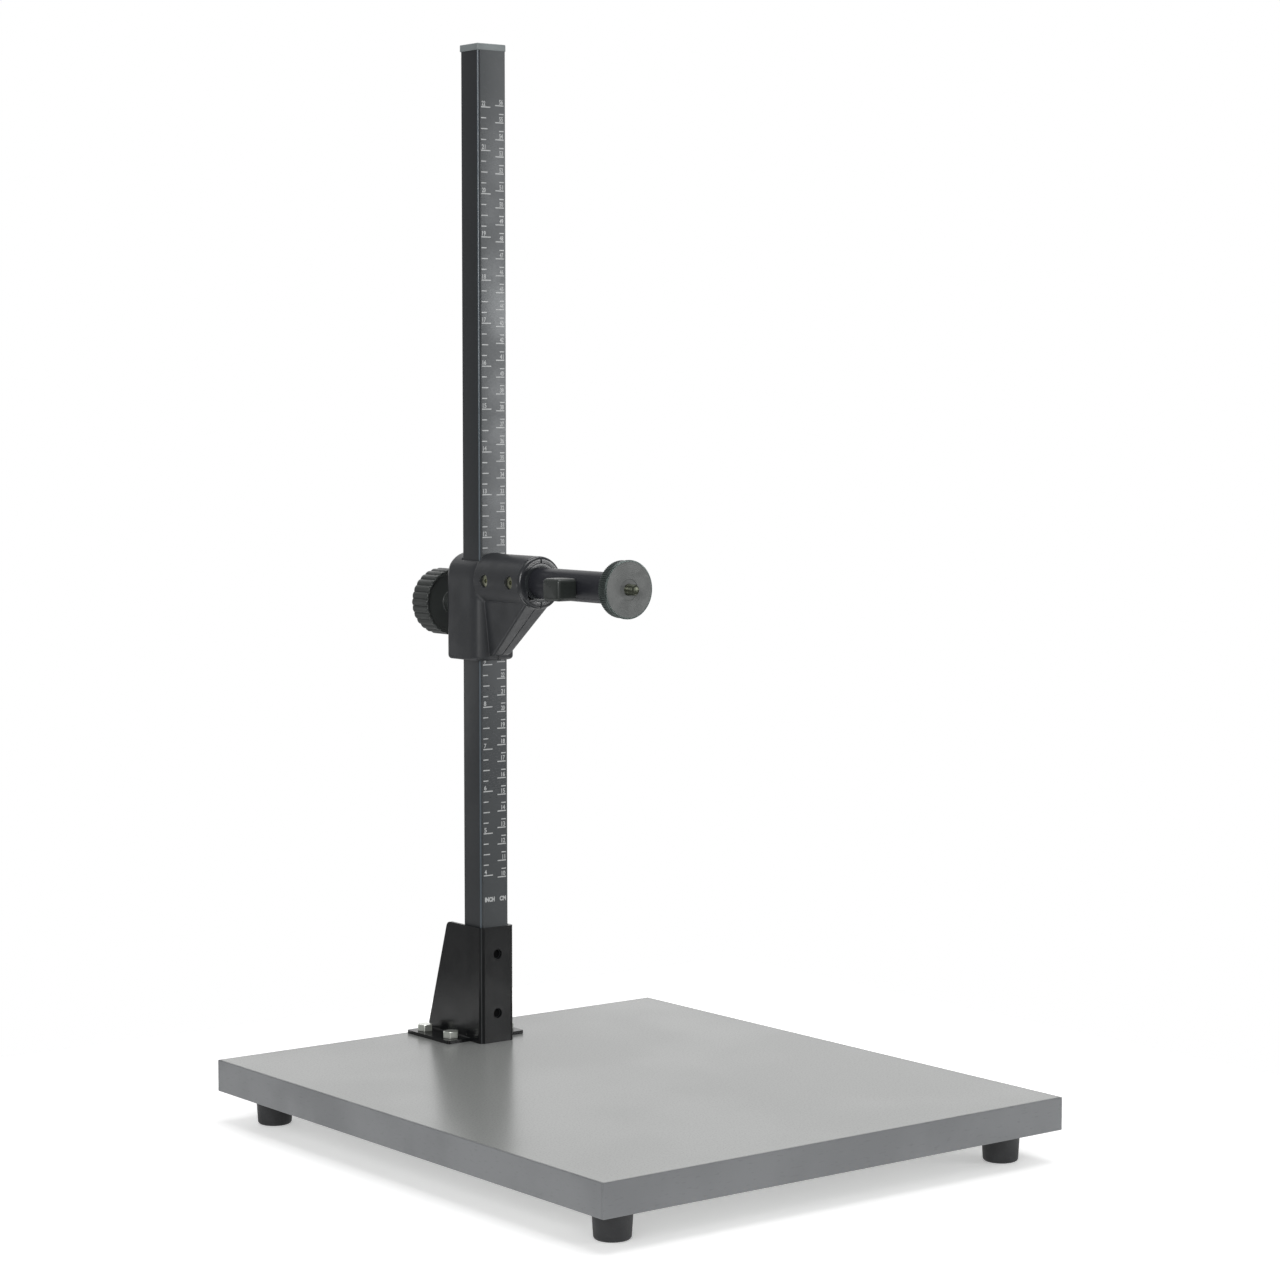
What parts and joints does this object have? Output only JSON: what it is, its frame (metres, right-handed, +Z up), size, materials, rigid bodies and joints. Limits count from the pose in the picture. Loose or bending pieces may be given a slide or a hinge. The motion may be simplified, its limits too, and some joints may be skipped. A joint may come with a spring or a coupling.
{
  "type": "copy stand",
  "caption": "Tabletop copy stand: a flat baseboard on rubber feet, an upright scaled column with a sliding carriage, and an arm that ends in a turning camera screw.",
  "frame": {"origin": "on the floor under the feet, below the middle of the baseboard", "axes": "+Z up along the column, +Y to the back where the column stands, -Y the way the arm points, +X right"},
  "size_m": [0.32, 0.3785, 0.6327],
  "materials": {
    "laminate": "melamine faced particle board, light grey, satin",
    "edge_band": "grey melamine edge strip, satin",
    "foot_rubber": "moulded rubber, dull black",
    "zinc_steel": "bright zinc plate",
    "column_coat": "black enamel on steel tube, satin",
    "scale_plate": "dark grey coated metal strip with a printed scale, satin",
    "grey_plastic": "moulded grey plastic, satin",
    "bracket_coat": "black enamel on sheet steel, satin",
    "black_steel": "blackened steel",
    "housing_plastic": "charcoal moulded plastic, satin",
    "brass": "turned brass",
    "knob_plastic": "black moulded plastic, satin",
    "arm_coat": "black enamel on steel tube, half gloss",
    "bush_plastic": "moulded pale plastic",
    "bronzed_steel": "bronzed steel",
    "wheel_aluminium": "black anodised aluminium with a fine knurl",
    "pad_rubber": "flat grey rubber facing"
  },
  "bodies": {
    "stand": {"board_core": "laminate", "edge_band_front": "edge_band", "edge_band_back": "edge_band", "edge_band_left": "edge_band", "edge_band_right": "edge_band", "foot_front_left": "foot_rubber", "foot_front_right": "foot_rubber", "foot_back_left": "foot_rubber", "foot_back_right": "foot_rubber", "foot_washer_front_left": "zinc_steel", "foot_washer_front_right": "zinc_steel", "foot_washer_back_left": "zinc_steel", "foot_washer_back_right": "zinc_steel", "foot_screw_front_left": "zinc_steel", "foot_screw_front_right": "zinc_steel", "foot_screw_back_left": "zinc_steel", "foot_screw_back_right": "zinc_steel", "column_tube": "column_coat", "column_scale": "scale_plate", "column_cap": "grey_plastic", "column_bracket": "bracket_coat", "column_screw_lower": "black_steel", "column_screw_upper": "black_steel", "bracket_screw_front_left": "zinc_steel", "bracket_screw_front_right": "zinc_steel", "bracket_screw_back_left": "zinc_steel", "bracket_screw_back_right": "zinc_steel"},
    "carriage": {"housing_left": "housing_plastic", "housing_right": "housing_plastic", "cross_screw_front": "zinc_steel", "cross_screw_back": "zinc_steel", "clamp_nut": "zinc_steel", "arm_tube": "arm_coat", "arm_collar": "knob_plastic", "spindle_bush_front": "bush_plastic", "spindle_bush_back": "bush_plastic"},
    "clamp_pad": {"clamp_pad": "brass"},
    "clamp_knob": {"clamp_stud": "zinc_steel", "clamp_knob": "knob_plastic"},
    "camera_spindle": {"spindle": "bronzed_steel", "spindle_clip": "zinc_steel", "camera_wheel": "wheel_aluminium", "camera_pad": "pad_rubber", "camera_screw": "bronzed_steel"},
    "lock_tip": {"lock_tip": "brass"},
    "lock_head": {"lock_stem": "black_steel", "lock_head": "knob_plastic"}
  },
  "joints": [
    {"name": "carriage_slide", "type": "slide", "parent": "stand", "child": "carriage", "axis": [0, 0, 1], "range_m": [-0.16, 0.296]},
    {"name": "clamp_pad_slide", "type": "slide", "parent": "carriage", "child": "clamp_pad", "axis": [0, 1, 0], "range_m": [0, 0.0019]},
    {"name": "clamp_knob_turn", "type": "hinge", "parent": "clamp_pad", "child": "clamp_knob", "pos_m": [0, 0.18, 0.30055], "axis": [0, 1, 0], "range_deg": [0, 540]},
    {"name": "camera_turn", "type": "hinge", "parent": "carriage", "child": "camera_spindle", "pos_m": [0, 0, 0.3161], "axis": [0, 1, 0], "continuous": true},
    {"name": "lock_tip_slide", "type": "slide", "parent": "carriage", "child": "lock_tip", "axis": [-1, 0, 0], "range_m": [0, 0.0011]},
    {"name": "lock_turn", "type": "hinge", "parent": "lock_tip", "child": "lock_head", "pos_m": [-0.015, 0.04425, 0.3147], "axis": [-1, 0, 0], "range_deg": [0, 360]}
  ],
  "couplings": [
    {"joint": "clamp_pad_slide", "follows": "clamp_knob_turn", "m_per_rad": 0.00019894},
    {"joint": "lock_tip_slide", "follows": "lock_turn", "m_per_rad": 0.00015915}
  ]
}
